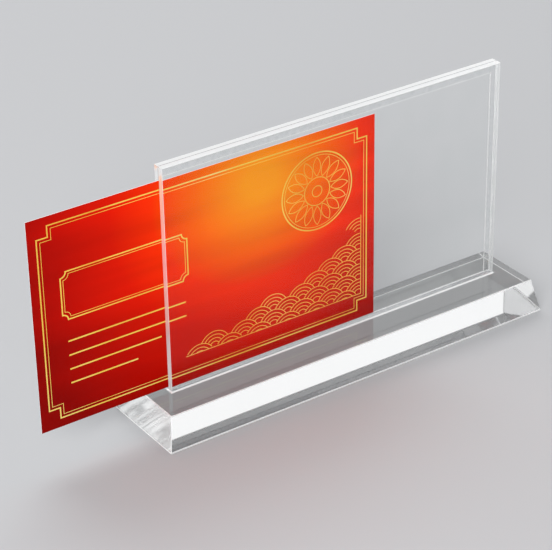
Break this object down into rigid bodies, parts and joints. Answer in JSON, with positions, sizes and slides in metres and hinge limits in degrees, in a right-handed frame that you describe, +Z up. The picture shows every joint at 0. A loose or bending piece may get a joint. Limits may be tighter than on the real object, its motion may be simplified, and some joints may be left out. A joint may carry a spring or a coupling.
{
  "type": "table sign holder",
  "caption": "Clear acrylic desk sign holder: a bevelled block carries an upright panel, and a printed card slides sideways into the panel's slot.",
  "frame": {"origin": "centre of the base block's underside", "axes": "+X along the panel towards the closed end of its slot, +Y from the front pane to the rear pane, +Z up"},
  "size_m": [0.2964, 0.0528, 0.144],
  "materials": {
    "acrylic": "clear, polished on every face",
    "printed_card": "glossy full-colour print on thin stiff sheet"
  },
  "bodies": {
    "holder": {"base_block": "acrylic", "front_pane": "acrylic", "rear_pane": "acrylic", "top_strip": "acrylic", "end_strip": "acrylic", "floor_strip": "acrylic"},
    "card": {"insert_card": "printed_card"}
  },
  "joints": [
    {"name": "card_slide", "type": "slide", "parent": "holder", "child": "card", "axis": [1, 0, 0], "range_m": [-0.125, 0.0752]}
  ]
}
